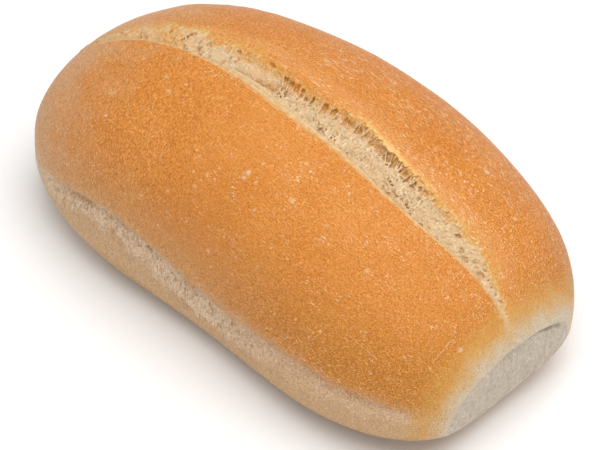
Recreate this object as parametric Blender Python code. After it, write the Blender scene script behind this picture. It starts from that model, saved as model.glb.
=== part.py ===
"""A bread roll with one long split along its top and one flat end, as one closed solid.

Metres, +Z up, resting on z = 0 with the middle of its box over the origin. X runs along
the roll: +X is the flat end, where the roll was pulled off its neighbour, and -X is the
round end. -Y is the flank with the pale seam, and +Y is the far flank.

The roll starts as a sphere whose poles are turned to the X axis. Each vertex has a row
(u, radians from the +X pole) and a column (v, radians round from +Y over the top). The
vertex is then placed by formula: on the dome, against the flat end, on the sole, and
last on the seam, the fold and the split. Sizes below are in millimetres.
"""

import math

import bmesh
import bpy
import numpy as np

MM = 0.001

# How finely the sphere is divided.
COLUMNS = 92
ROWS = 55
SPLIT_COLUMNS = 12
FAR_COLUMNS = 38
SEAM_COLUMNS = 21
FOLD_ROW = 7
FOLD_CROWDING_INSIDE = 1.8
FOLD_CROWDING_BEYOND = 1.2
LIP_CROWDING = 1.15
SEAM_CROWDING = 1.3

# Close to the round end the columns fan out to even spacing, from this X over this length.
FAN_AT = -57.0
FAN_LENGTH = 2.5

# The dome: half sizes, and how full each quarter is (1 is a plain ellipse, less is fuller).
HALF_LENGTH = 60.0
NOSE = 1.1
NEAR_HALF_WIDTH = 32.7
FAR_HALF_WIDTH = 39.4
TOP_HEIGHT = 49.75
WIDEST_HEIGHT = 13.0
UNDER_DEPTH = 18.4
FLAT_END_TAPER = 0.923
ROUND_END_TAPER = 1.072
FLAT_END_SIDES = 0.579
ROUND_END_SIDES = 0.527
FLAT_END_TOP = 0.807
ROUND_END_TOP = 0.768
SIDE_FULLNESS = 1.041
CROWN_FULLNESS = 0.842
UNDER_FULLNESS = 0.637

# The near flank is drawn in a little halfway along, below its widest line.
WAIST = 0.153
WAIST_AT = 2.0
WAIST_REACH = 29.0

# The flat end: a plane that leans outward going up, meeting the dome in a fold.
FACE_AT = 58.95
FACE_LEAN = 0.13
FACE_LEVEL = 14.0
FOLD_ROUNDING = 1.5
FOLD_UNDERCUT = 0.9

# The sole is flat, with a rounded edge.
SOLE_ROUNDING = 1.8

# The seam on the near flank, in degrees round, with the dip halfway along.
SEAM_ROUND = 178.5
SEAM_DIP = 6.5
SEAM_DIP_AT = 1.0
SEAM_DIP_REACH = 17.0
SEAM_DEPTH = 0.8
SEAM_WIDTH = 2.6

# The split, by stations along X: its two lips in degrees round, its depth against the
# near lip, and the height of the step under the far lip.
NEAR_LIP = ((-60, 112), (-50, 109), (-42, 103), (-30, 100), (-18, 99.5), (0, 101),
            (20, 101.5), (38, 102), (46, 99), (54, 94.5), (60, 92))
FAR_LIP = ((-60, 106), (-52, 104), (-45, 95), (-38, 88.5), (-25, 85), (-12, 81.5),
           (2, 82), (15, 85), (30, 86), (45, 86), (54, 87), (60, 88.5))
SPLIT_DEPTH = ((-54, 0), (-46, 0.8), (-34, 1.6), (-24, 2.6), (-10, 3.4), (25, 3.4),
               (38, 2.8), (46, 1.8), (53, 0.8), (58, 0))
FAR_STEP = ((-28, 0), (-18, 0.6), (-6, 1.5), (32, 1.5), (42, 0.8), (50, 0))
STATION_BLEND = 5.0
NEAR_WALL = 0.10
FAR_WALL = 0.07


def power(value, exponent):
    """A power that keeps the sign."""
    return np.sign(value) * np.abs(value) ** exponent


def ease(value):
    """0 to 1 with level ends."""
    t = np.clip(value, 0.0, 1.0)
    return t * t * (3.0 - 2.0 * t)


def soft_min(a, b, width):
    """The smaller of two values, rounded where they cross."""
    h = np.clip(0.5 + 0.5 * (b - a) / width, 0.0, 1.0)
    return b * (1.0 - h) + a * h - width * h * (1.0 - h)


def soft_max(a, b, width):
    return -soft_min(-a, -b, width)


def crowd(part, strength):
    """Even steps from 0 to 1, drawn closer together towards 1."""
    return 1.0 - (1.0 - np.clip(part, 0.0, 1.0)) ** strength


def at_stations(x, stations):
    """A size given at stations along X, averaged over a short stretch so it bends gently."""
    where = [s[0] for s in stations]
    what = [s[1] for s in stations]
    shifts = np.linspace(-STATION_BLEND, STATION_BLEND, 11)
    return sum(np.interp(x + s, where, what) for s in shifts) / len(shifts)


def dome_x(u):
    ahead = np.cos(u)
    x = HALF_LENGTH * power(ahead, np.where(ahead > 0, FLAT_END_TAPER, ROUND_END_TAPER))
    return np.where(x > 0, x * (1.0 + NOSE / HALF_LENGTH), x)


def dome_sides(u):
    """How wide the dome is at a row, as a part of its full half width."""
    return np.abs(np.sin(u)) ** np.where(np.cos(u) > 0, FLAT_END_SIDES, ROUND_END_SIDES)


def dome(u, v):
    """The plain dome with its sole, before the flat end is cut."""
    x = dome_x(u)
    side = power(np.cos(v), SIDE_FULLNESS)
    lift = power(np.sin(v), np.where(np.sin(v) > 0, CROWN_FULLNESS, UNDER_FULLNESS))
    near = side < 0
    y = np.where(near, NEAR_HALF_WIDTH, FAR_HALF_WIDTH) * dome_sides(u) * side
    waist = WAIST * np.exp(-(((x - WAIST_AT) / WAIST_REACH) ** 2))
    y = np.where(near, y * (1.0 - waist * ease(1.0 - lift)), y)
    tall = np.abs(np.sin(u)) ** np.where(np.cos(u) > 0, FLAT_END_TOP, ROUND_END_TOP)
    reach = np.where(lift > 0, TOP_HEIGHT - WIDEST_HEIGHT, UNDER_DEPTH)
    z = WIDEST_HEIGHT + tall * lift * reach
    return x, y, soft_max(z, 0.0, SOLE_ROUNDING)


def face_x(z):
    return FACE_AT + FACE_LEAN * (z - FACE_LEVEL)


def seam_angle(x):
    dip = SEAM_DIP * np.exp(-(((x - SEAM_DIP_AT) / SEAM_DIP_REACH) ** 2))
    return np.radians(SEAM_ROUND + dip)


def even_angle(column):
    return 2.0 * math.pi * column / COLUMNS - 0.5 * math.pi


def angle_round(column, u):
    """The angle of a column at a row. Columns run from the bottom over the far flank,
    across the split between its lips, down to the seam and back to the bottom. They fan
    out evenly close to the round end."""
    x = dome_x(u)
    far = np.radians(at_stations(x, FAR_LIP))
    near = np.radians(at_stations(x, NEAR_LIP))
    seam = seam_angle(x)
    bottom = -0.5 * math.pi
    split_start = FAR_COLUMNS
    split_end = FAR_COLUMNS + SPLIT_COLUMNS
    seam_column = split_end + SEAM_COLUMNS
    across = 0.5 - 0.5 * np.cos(math.pi * (column - split_start) / SPLIT_COLUMNS)
    up = crowd(column / split_start, LIP_CROWDING)
    down = crowd((column - split_end) / SEAM_COLUMNS, SEAM_CROWDING)
    under = 1.0 - crowd(1.0 - (column - seam_column) / (COLUMNS - seam_column), SEAM_CROWDING)
    angle = bottom + (far - bottom) * up
    angle = np.where(column > split_start, far + (near - far) * across, angle)
    angle = np.where(column > split_end, near + (seam - near) * down, angle)
    last = bottom + 2.0 * math.pi
    angle = np.where(column > seam_column, seam + (last - seam) * under, angle)
    return angle + (even_angle(column) - angle) * ease((FAN_AT - x) / FAN_LENGTH)


def fold_row_angle(column):
    """The row angle at which a column of the dome meets the flat end, by halving."""
    low = np.full(column.shape, 1e-4)
    high = np.full(column.shape, 0.5 * math.pi)
    for _ in range(40):
        middle = 0.5 * (low + high)
        x, _, z = dome(middle, angle_round(column, middle))
        outside = x > face_x(z)
        low = np.where(outside, middle, low)
        high = np.where(outside, high, middle)
    return 0.5 * (low + high)


def even_rows():
    """Row angles against distance along the side of the roll, so rows can be even."""
    u = np.linspace(0.0, math.pi, 2001)
    x = dome_x(u)
    r = 0.5 * (NEAR_HALF_WIDTH + FAR_HALF_WIDTH) * dome_sides(u)
    steps = np.hypot(np.diff(x), np.diff(r))
    return u, np.concatenate([[0.0], np.cumsum(steps)])


def row_angles(row, column, fold_u):
    """Rows inside the flat end close up towards the fold, and open out beyond it."""
    angles, distances = even_rows()
    fold = np.interp(fold_u, angles, distances)
    inside = fold * crowd(row / FOLD_ROW, FOLD_CROWDING_INSIDE)
    beyond = np.clip((row - FOLD_ROW) / (ROWS - FOLD_ROW), 0.0, 1.0)
    outside = fold + (distances[-1] - fold) * beyond ** FOLD_CROWDING_BEYOND
    return np.interp(np.where(row < FOLD_ROW, inside, outside), distances, angles)


def split_depth(column, x):
    """How far the split is sunk below the dome: a steep wall at the near lip, a floor
    that climbs towards the far lip, and a low step under the far lip."""
    place = np.clip((column - FAR_COLUMNS) / SPLIT_COLUMNS, 0.0, 1.0)
    across = 0.5 - 0.5 * np.cos(math.pi * place)
    deepest = at_stations(x, SPLIT_DEPTH)
    step = np.minimum(at_stations(x, FAR_STEP), deepest)
    floor = step + (deepest - step) * ease(across / 0.85)
    near_wall = ease((1.0 - across) / NEAR_WALL)
    far_wall = ease(across / FAR_WALL)
    return floor * near_wall * far_wall


def seam_depth(v, x, y):
    """A shallow crease along the near flank, fading before both ends."""
    off_seam = (v - seam_angle(x)) * 0.5 * (NEAR_HALF_WIDTH + WIDEST_HEIGHT)
    crease = np.exp(-((off_seam / (0.5 * SEAM_WIDTH)) ** 2))
    fade = ease((56.0 - x) / 8.0) * ease((x + 48.0) / 14.0)
    return np.where(y < 0, SEAM_DEPTH * crease * fade, 0.0)


def place(row, column):
    """The point of the finished roll at a row and column, in millimetres."""
    fold_u = fold_row_angle(column)
    u = row_angles(row, column, fold_u)
    even = even_angle(column)
    fanned = even + (angle_round(column, fold_u) - even) * ease(row / FOLD_ROW)
    v = np.where(row < FOLD_ROW, fanned, angle_round(column, u))
    x, y, z = dome(u, v)
    undercut = FOLD_UNDERCUT * ease((FOLD_ROW - row) / 1.0) * ease(np.sin(v) + 0.35)
    undercut = undercut * ease(row / 3.0)
    x = soft_min(x, face_x(z), FOLD_ROUNDING) - undercut
    sink = split_depth(column, x)
    inward_x = 0.25 * x
    inward_z = z - WIDEST_HEIGHT
    length = np.hypot(inward_x, inward_z) + 1e-6
    x = x - sink * inward_x / length
    z = z - sink * inward_z / length
    y = y + seam_depth(v, x, y)
    return x, y, z


def rows_and_columns(mesh):
    """The row and column of each vertex of the plain sphere, from where it stands."""
    points = np.array([v.co[:] for v in mesh.verts])
    row = np.round(np.arccos(np.clip(points[:, 2], -1.0, 1.0)) * ROWS / math.pi)
    turn = np.arctan2(points[:, 1], points[:, 0]) / (2.0 * math.pi)
    column = np.round((turn % 1.0) * COLUMNS) % COLUMNS
    return row, column


def bread_roll():
    mesh = bmesh.new()
    bmesh.ops.create_uvsphere(mesh, u_segments=COLUMNS, v_segments=ROWS, radius=1.0)
    row, column = rows_and_columns(mesh)
    points = np.stack(place(row, column), axis=1)
    middle = 0.5 * (points.min(axis=0) + points.max(axis=0))
    points[:, :2] -= middle[:2]
    for vertex, point in zip(mesh.verts, points):
        vertex.co = [float(value) * MM for value in point]
    bmesh.ops.recalc_face_normals(mesh, faces=mesh.faces[:])
    bmesh.ops.triangulate(mesh, faces=mesh.faces[:])
    data = bpy.data.meshes.new("bread_roll")
    mesh.to_mesh(data)
    mesh.free()
    roll = bpy.data.objects.new("bread_roll", data)
    bpy.context.scene.collection.objects.link(roll)


for thing in list(bpy.data.objects):
    bpy.data.objects.remove(thing, do_unlink=True)
bread_roll()
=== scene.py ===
"""The looks of a bread roll: golden crust, open crumb in the split, pale flat end and seam.

Two pieces ride on the solid's body. The crust is one skin around the whole roll. The crumb
is an open sponge that fills the split and runs out under the crust past its far lip.
Sizes are millimetres, turned into metres when a mesh is made. X runs along the roll, with
the flat end at +X and the seam on the -Y flank.
"""

import math

import bpy
import numpy as np
from mathutils import Matrix, Vector


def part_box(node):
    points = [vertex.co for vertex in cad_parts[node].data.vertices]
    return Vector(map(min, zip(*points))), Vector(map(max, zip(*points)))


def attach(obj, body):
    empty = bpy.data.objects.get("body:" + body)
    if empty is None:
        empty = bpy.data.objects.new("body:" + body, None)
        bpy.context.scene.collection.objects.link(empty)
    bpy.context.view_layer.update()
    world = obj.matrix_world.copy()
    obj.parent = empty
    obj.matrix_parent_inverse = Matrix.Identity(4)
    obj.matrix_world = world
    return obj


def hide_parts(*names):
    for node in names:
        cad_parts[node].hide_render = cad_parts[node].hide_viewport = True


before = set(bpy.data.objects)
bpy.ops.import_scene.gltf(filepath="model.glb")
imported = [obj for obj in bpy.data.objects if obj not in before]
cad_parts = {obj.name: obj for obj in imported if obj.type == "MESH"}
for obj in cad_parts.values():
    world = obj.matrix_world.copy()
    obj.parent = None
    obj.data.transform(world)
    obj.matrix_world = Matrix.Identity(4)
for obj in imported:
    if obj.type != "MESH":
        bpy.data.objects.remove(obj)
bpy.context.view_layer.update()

MM = 0.001

# The dome, as in the solid.
HALF_LENGTH = 60.0
NOSE = 1.1
NEAR_HALF_WIDTH = 32.7
FAR_HALF_WIDTH = 39.4
TOP_HEIGHT = 49.75
WIDEST_HEIGHT = 13.0
UNDER_DEPTH = 18.4
FLAT_END_TAPER = 0.923
ROUND_END_TAPER = 1.072
FLAT_END_SIDES = 0.579
ROUND_END_SIDES = 0.527
FLAT_END_TOP = 0.807
ROUND_END_TOP = 0.768
SIDE_FULLNESS = 1.041
CROWN_FULLNESS = 0.842
UNDER_FULLNESS = 0.637
WAIST = 0.153
WAIST_AT = 2.0
WAIST_REACH = 29.0
FACE_AT = 58.95
FACE_LEAN = 0.13
FACE_LEVEL = 14.0
FOLD_ROUNDING = 0.9
FOLD_UNDERCUT = 0.9
SOLE_ROUNDING = 1.8
SEAM_ROUND = 178.5
SEAM_DIP = 6.5
SEAM_DIP_AT = 1.0
SEAM_DIP_REACH = 17.0
SEAM_DEPTH = 0.8
SEAM_WIDTH = 2.6

# The split, by stations along X, as in the solid.
NEAR_LIP = ((-60, 112), (-50, 107.8), (-44, 103.2), (-38, 99.4), (-30, 97.8), (-20, 96.8),
            (-10, 96.4), (0, 98.4), (10, 98.4), (20, 98.8), (28, 100.4), (36, 100.5), (42, 99.4),
            (48, 96.8), (54, 93.3), (60, 90.0))
FAR_LIP = ((-60, 106), (-52, 104), (-45, 95), (-38, 88.5), (-25, 85), (-12, 82), (-4, 83),
           (3, 84.3), (9, 84.4), (13, 82.8), (17, 82.7), (21, 85), (38, 85.5), (43, 84.5),
           (47, 83.2), (51, 84.7), (55, 86), (60, 88.5))
SPLIT_DEPTH = ((-54, 0), (-46, 0.8), (-34, 1.6), (-24, 2.6), (-10, 3.4), (25, 3.4),
               (38, 2.8), (46, 1.8), (53, 0.8), (58, 0))
FAR_STEP = ((-28, 0), (-18, 0.6), (-6, 1.5), (32, 1.5), (42, 0.8), (50, 0))
STATION_BLEND = 5.0

# The crumb piece: its voxel, how far it runs under the crust, and its two ends along X.
VOXEL = 0.155
CRUMB_MARGIN = 4.5
CRUMB_FROM = -54.0
CRUMB_TO = 58.3
CRUST_SINK = 1.6
CRUMB_CUTS = (-14.0, 16.0)

# Along X: over how much of the crumb the far lip steps down, and how far from the near lip
# the crumb has sunk to its full depth.
STEP_SPAN = ((-12, 2.6), (10, 2.2), (17, 0.9), (28, 0.9), (35, 2.6), (48, 2.2), (58, 1.2))

# Along X: where hollows lie under the far lip and how far in, where the crust hangs over
# them, how broad the browning of the crumb is, and how broad the near lip's pale rim is.
HOLLOWS = ((-6, 0), (4, 1), (30, 1), (35, 0))
HOLLOW_IN = ((-4, 1.9), (13, 1.7), (20, 0.9), (40, 0.8))
OVERHANG = ((9, 0), (17, 1), (30, 1), (35, 0))
RIM_WIDTH = ((-50, 0.8), (-20, 1.0), (-10, 2.3), (20, 2.3), (30, 1.1), (50, 0.9), (58, 1.3))
RISE = ((-50, 0.8), (-16, 1.0), (-6, 1.5), (18, 1.6), (28, 1.2), (58, 0.8))
SHELF = ((-17, 0), (-11, 1.0), (2, 1.1), (9, 0.4), (15, 0))
BROWNING = ((-50, 5.5), (-32, 8.0), (-24, 7.0), (-15, 8.0), (-2, 4.0), (8, 2.6), (18, 1.6),
            (29, 1.8), (35, 5.0), (43, 6.0), (52, 5.0), (58, 3.0))
BROWN_LEAD = ((-50, 3.2), (-32, 3.4), (-24, 2.8), (-15, 5.8), (-2, 3.8), (8, 2.7), (18, 1.0),
              (29, 1.1), (35, 3.0), (43, 3.7), (52, 3.1), (58, 1.9))
PIT_ROW = ((-17, 1.9), (-12, 2.4), (-10, 2.9), (-7.8, 3.3), (-6.2, 3.8), (-4.2, 4.6), (-2, 4.6))
NOTCH_AT = (-29.2, 4.3)

# Along X: how brown the crumb is away from the far lip, how far from the near lip that
# starts, and how far round the seam's crease lies above the solid's, in millimetres.
TOASTED = ((-60, 0.45), (-38, 0.36), (-29, 0.48), (-24, 0.12), (-18, 0.05), (-12, 0.30),
           (-3, 0.30), (4, 0.0), (44, 0.0), (50, 0.25), (57, 0.45))
TOASTED_FROM = ((-36, -2.0), (-28, 1.8), (-20, 1.8), (-12, 1.0))
TROUGH_REACH = ((8, 3.4), (18, 2.2), (44, 2.4))
CREASE_RISE = ((-46, 0.0), (-37, 1.0), (-30, 2.4), (-22, 3.6), (-12, 3.3), (0, 2.8), (8, 2.0),
               (15, 1.0), (58, 1.0))


def power(value, exponent):
    return np.sign(value) * np.abs(value) ** exponent


def ease(value):
    t = np.clip(value, 0.0, 1.0)
    return t * t * (3.0 - 2.0 * t)


def soft_min(a, b, width):
    h = np.clip(0.5 + 0.5 * (b - a) / width, 0.0, 1.0)
    return b * (1.0 - h) + a * h - width * h * (1.0 - h)


def soft_max(a, b, width):
    return -soft_min(-a, -b, width)


def crowd(part, strength):
    """Even steps from 0 to 1, drawn closer together towards 1."""
    return 1.0 - (1.0 - np.clip(part, 0.0, 1.0)) ** strength


def at_stations(x, stations):
    where = [s[0] for s in stations]
    what = [s[1] for s in stations]
    shifts = np.linspace(-STATION_BLEND, STATION_BLEND, 11)
    return sum(np.interp(x + s, where, what) for s in shifts) / len(shifts)


def lattice(ix, iy, iz, seed):
    """A repeatable random number from 0 to 1 for each whole-numbered point."""
    h = (ix.astype(np.int64) * 374761393 + iy.astype(np.int64) * 668265263
         + iz.astype(np.int64) * 2147483647 + seed * 1274126177) & 0xFFFFFFFF
    h = ((h ^ (h >> 13)) * 1274126177) & 0xFFFFFFFF
    h = ((h ^ (h >> 16)) * 2246822519) & 0xFFFFFFFF
    return ((h ^ (h >> 15)) & 0xFFFFFF) / float(0xFFFFFF)


def noise(x, y, z, size, seed):
    """Smooth noise from -1 to 1 whose lumps are about size across."""
    px, py, pz = x / size, y / size, z / size
    fx, fy, fz = np.floor(px), np.floor(py), np.floor(pz)
    tx, ty, tz = (ease(p - f) for p, f in ((px, fx), (py, fy), (pz, fz)))
    total = 0.0
    for dx in (0, 1):
        for dy in (0, 1):
            for dz in (0, 1):
                weight = (tx if dx else 1 - tx) * (ty if dy else 1 - ty) * (tz if dz else 1 - tz)
                total = total + weight * lattice(fx + dx, fy + dy, fz + dz, seed)
    return 2.0 * total - 1.0


def cells(s, a, size, seed):
    """Pits between thin walls: 0 on a wall, up to 1 in a pit, and each pit's own number."""
    s = (s + 0.30 * size * noise(s, a, 0 * s, 1.1 * size, seed + 2)) / size
    a = (a + 0.30 * size * noise(s, a, 0 * s + 9.0, 1.1 * size, seed + 3)) / size
    near = np.full(s.shape, 9.0)
    after = np.full(s.shape, 9.0)
    number = np.zeros(s.shape)
    for ds in (-1, 0, 1):
        for da in (-1, 0, 1):
            cs, ca = np.floor(s) + ds, np.floor(a) + da
            away = np.hypot(s - cs - 0.1 - 0.8 * lattice(cs, ca, 0 * cs, seed),
                            a - ca - 0.1 - 0.8 * lattice(cs, ca, 0 * cs, seed + 1))
            after = np.minimum(after, np.maximum(near, away))
            number = np.where(away < near, lattice(cs, ca, 0 * cs + 5, seed), number)
            near = np.minimum(near, away)
    return ease((after - near) / 0.55), number


# ---- the skin of the roll, without the split ----

def dome_x(u):
    ahead = np.cos(u)
    x = HALF_LENGTH * power(ahead, np.where(ahead > 0, FLAT_END_TAPER, ROUND_END_TAPER))
    return np.where(x > 0, x * (1.0 + NOSE / HALF_LENGTH), x)


def dome_sides(u):
    return np.abs(np.sin(u)) ** np.where(np.cos(u) > 0, FLAT_END_SIDES, ROUND_END_SIDES)


def dome_tall(u):
    return np.abs(np.sin(u)) ** np.where(np.cos(u) > 0, FLAT_END_TOP, ROUND_END_TOP)


def dome(u, v):
    x = dome_x(u)
    side = power(np.cos(v), SIDE_FULLNESS)
    lift = power(np.sin(v), np.where(np.sin(v) > 0, CROWN_FULLNESS, UNDER_FULLNESS))
    near = side < 0
    y = np.where(near, NEAR_HALF_WIDTH, FAR_HALF_WIDTH) * dome_sides(u) * side
    waist = WAIST * np.exp(-(((x - WAIST_AT) / WAIST_REACH) ** 2))
    y = np.where(near, y * (1.0 - waist * ease(1.0 - lift)), y)
    reach = np.where(lift > 0, TOP_HEIGHT - WIDEST_HEIGHT, UNDER_DEPTH)
    z = WIDEST_HEIGHT + dome_tall(u) * lift * reach
    return x, y, soft_max(z, 0.0, SOLE_ROUNDING)


def face_x(z):
    return FACE_AT + FACE_LEAN * (z - FACE_LEVEL)


def seam_angle(x):
    dip = SEAM_DIP * np.exp(-(((x - SEAM_DIP_AT) / SEAM_DIP_REACH) ** 2))
    return np.radians(SEAM_ROUND + dip)


def skin(u, v):
    """A point of the roll's outer form at a row angle u and an angle round v."""
    x, y, z = dome(u, v)
    past = x - face_x(z)
    upper = ease(np.sin(v) + 0.35)
    turn = np.degrees(v)
    deep = 0.3 + 0.7 * ease((118.0 - turn) / 26.0) * ease((turn - 12.0) / 30.0)
    recess = FOLD_UNDERCUT * deep * ease(past / 0.3) * upper * (1.0 - 0.8 * ease((past - 0.4) / 1.4))
    x = soft_min(x, face_x(z), FOLD_ROUNDING) - recess
    off_seam = (v - seam_angle(x)) * 0.5 * (NEAR_HALF_WIDTH + WIDEST_HEIGHT)
    crease = np.exp(-((off_seam / (0.5 * SEAM_WIDTH)) ** 2))
    fade = ease((56.0 - x) / 8.0) * ease((x + 48.0) / 14.0)
    y = y + np.where(y < 0, SEAM_DEPTH * crease * fade, 0.0)
    return np.stack(np.broadcast_arrays(x, y, z), axis=-1)


def unit(vectors):
    return vectors / (np.linalg.norm(vectors, axis=-1, keepdims=True) + 1e-12)


def skin_and_normal(u, v):
    """The outer form with its slow lumps, and the outward direction."""
    step = 2e-3
    along = skin(u + step, v) - skin(u - step, v)
    around = skin(u, v + step) - skin(u, v - step)
    normal = unit(np.cross(along, around))
    point = skin(u, v)
    x, y, z = point[..., 0], point[..., 1], point[..., 2]
    above = ease(z / 6.0)
    lump = 0.30 * noise(x, y, z, 17.0, 5) + 0.14 * noise(x, y, z, 7.0, 6)
    far_side = ease((y - 4.0) / 6.0) * ease((24.0 - y) / 14.0)
    lump = lump * (0.7 + 0.9 * far_side)
    return point + normal * (lump * above)[..., None], normal


def lip_y(x, u, stations):
    """How far across a lip is, in millimetres, at a row."""
    angle = np.radians(at_stations(x, stations))
    side = power(np.cos(angle), SIDE_FULLNESS)
    return np.where(side < 0, NEAR_HALF_WIDTH, FAR_HALF_WIDTH) * dome_sides(u) * side


def angle_at(y, u):
    """The angle round over the top that stands at a distance y across."""
    half = np.where(y < 0, NEAR_HALF_WIDTH, FAR_HALF_WIDTH) * dome_sides(u)
    part = np.clip(np.abs(y) / half, 0.0, 0.98) ** (1.0 / SIDE_FULLNESS)
    return np.arccos(np.sign(y) * part)


def split_floor(x, across, width):
    """Depth of the crumb below the crust's form, across the split from its near lip."""
    deepest = at_stations(x, SPLIT_DEPTH)
    step = np.minimum(at_stations(x, FAR_STEP), deepest)
    place = (width - across) / np.maximum(0.85 * width, 0.5)
    floor = step + (deepest - step) * ease(place)
    return floor * ease((width - across) / at_stations(x, STEP_SPAN))


def crumb_floor(x, across, width):
    """The same depth, with the crumb rising to meet the near lip."""
    rise = ease((across + 0.3 - at_stations(x, SHELF)) / at_stations(x, RISE))
    floor = split_floor(x, np.clip(across, 0.0, None), width)
    return np.minimum(floor, 0.05 + floor * rise), rise


def cover(x, across, width):
    """Millimetres inside the crumb's outer edge; the near lip isn't an edge."""
    return np.minimum(np.minimum(width + CRUMB_MARGIN - across, x - CRUMB_FROM), CRUMB_TO - x)


def browned(x, y, z, across, width):
    """0 for bare crumb to 1 for full crust, beyond and before the far lip."""
    span = at_stations(x, BROWNING)
    wander = 0.9 * noise(x, y, z, 3.0, 21) + 0.5 * noise(x, y, z, 1.2, 22)
    wander = wander + 0.9 * noise(x, y / 2.6, z, 0.7, 23) * ease((-14.0 - x) / 8.0)
    lead = at_stations(x, BROWN_LEAD)
    brown = np.clip((across - width + lead + wander * span * 0.18) / span, 0.0, 1.0)
    toast = at_stations(x, TOASTED) * ease((across - at_stations(x, TOASTED_FROM)) / 1.6)
    reach = at_stations(x, TROUGH_REACH)
    trough = 0.42 * ease((across - width + reach) / (0.6 * reach)) * ease((x + 5.0) / 8.0) * ease((37.0 - x) / 5.0)
    brown = np.maximum(brown, np.maximum(toast, trough) * (1.0 + 0.10 * wander))
    return np.maximum(brown, ease((-51.0 - x) / 5.0))


def far_glow(x, beyond):
    """One on the paler band of crust just past the far lip."""
    band = ease((beyond - 0.2) / 1.2) * ease((6.0 - beyond) / 4.0)
    return band * ease((x + 34.0) / 12.0) * ease((58.0 - x) / 6.0)


def arc_lengths(radius_of):
    """Row angles against distance along a line from the +X pole to the -X pole."""
    u = np.linspace(1e-4, math.pi - 1e-4, 4001)
    steps = np.hypot(np.diff(dome_x(u)), np.diff(radius_of(u)))
    return u, np.concatenate([[0.0], np.cumsum(steps)])


MEAN_ANGLES, MEAN_DISTANCES = arc_lengths(
    lambda u: 0.5 * (NEAR_HALF_WIDTH + FAR_HALF_WIDTH) * dome_sides(u))


def fold_angle(v_at):
    """The row angle of the flat end's fold; v_at gives the angle round at a row angle."""
    high = 0.5 * math.pi + 0.0 * v_at(0.1)
    low = 0.0 * high + 1e-4
    for _ in range(34):
        middle = 0.5 * (low + high)
        x, _, z = dome(middle, v_at(middle))
        outside = x > face_x(z)
        low = np.where(outside, middle, low)
        high = np.where(outside, high, middle)
    return 0.5 * (low + high)


def past_fold(u, v):
    """Millimetres from the fold along the roll, less than nothing on the flat end."""
    fold_u = fold_angle(lambda _: v)
    return np.interp(u, MEAN_ANGLES, MEAN_DISTANCES) - np.interp(fold_u, MEAN_ANGLES, MEAN_DISTANCES)


def past_seam(x, v):
    """Millimetres round from the seam's crease, less than nothing above it."""
    return (v - seam_angle(x)) * 0.5 * (NEAR_HALF_WIDTH + WIDEST_HEIGHT) + at_stations(x, CREASE_RISE)


# ---- meshes ----

shape_middle = np.zeros(3)


def to_metres(points):
    return (points - shape_middle) * MM


def point_normals(points, triangles, quads, spare=None):
    """Smooth normals of a whole form, before it is cut into pieces.

    Where thin sheets meet in a point and cancel out, the spare direction is used.
    """
    normals = np.zeros(points.shape)
    areas = np.zeros((len(points), 1))
    for faces in (triangles, quads):
        if len(faces):
            corner = [points[faces[:, k]] for k in range(faces.shape[1])]
            across = np.cross(corner[2] - corner[0], corner[-1] - corner[1])
            size = np.linalg.norm(across, axis=1, keepdims=True)
            for k in range(faces.shape[1]):
                np.add.at(normals, faces[:, k], across)
                np.add.at(areas, faces[:, k], size)
    if spare is not None:
        weak = np.linalg.norm(normals, axis=1, keepdims=True) < 0.55 * areas
        normals = np.where(weak, spare, normals)
    return unit(normals)


def make_piece(name, points, normals, triangles, quads, numbers):
    """A smooth mesh in metres from the points that its faces use."""
    used = np.zeros(len(points), bool)
    used[triangles.ravel()] = True
    used[quads.ravel()] = True
    index = np.cumsum(used) - 1
    triangles, quads = index[triangles], index[quads]
    mesh = bpy.data.meshes.new(name)
    mesh.vertices.add(int(used.sum()))
    mesh.vertices.foreach_set("co", to_metres(points[used]).astype(np.float32).ravel())
    corners = np.concatenate([triangles.ravel(), quads.ravel()])
    sizes = np.concatenate([np.full(len(triangles), 3), np.full(len(quads), 4)])
    mesh.loops.add(len(corners))
    mesh.loops.foreach_set("vertex_index", corners.astype(np.int32))
    mesh.polygons.add(len(sizes))
    mesh.polygons.foreach_set("loop_start", (np.cumsum(sizes) - sizes).astype(np.int32))
    mesh.polygons.foreach_set("use_smooth", np.ones(len(sizes), bool))
    for key, values in numbers.items():
        layer = mesh.attributes.new(key, "FLOAT", "POINT")
        layer.data.foreach_set("value", np.ascontiguousarray(values[used], np.float32))
    mesh.update()
    mesh.normals_split_custom_set_from_vertices(normals[used].tolist())
    piece = bpy.data.objects.new(name, mesh)
    bpy.context.scene.collection.objects.link(piece)
    return piece


# ---- the crust ----

# Its grid: rows from the flat end, and columns by stretch from the bottom over the far
# flank, under the crumb, over the rim, down the near flank, over the seam and under.
ROWS = 430
FOLD_ROW = 46
STRETCHES = (("far", 180), ("hidden", 24), ("rim", 18), ("flank", 112), ("seam", 48), ("under", 36))
COLUMNS = sum(count for _, count in STRETCHES)
MIDDLE_COLUMN = 192

# The largest blisters: where along X, how far round in degrees, and their radius.
BLISTERS = ((7, 125, 0.62), (36, 60, 0.68), (6, 158, 0.5), (-7, 147, 0.42), (18, 124, 0.42),
            (46, 62, 0.55), (39, 63, 0.4), (56, 127, 0.6), (-20, 116, 0.5), (-30, 136, 0.45),
            (58.9, 88, 0.3), (59.45, 87, 0.26), (59.5, 93, 0.24))


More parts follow.
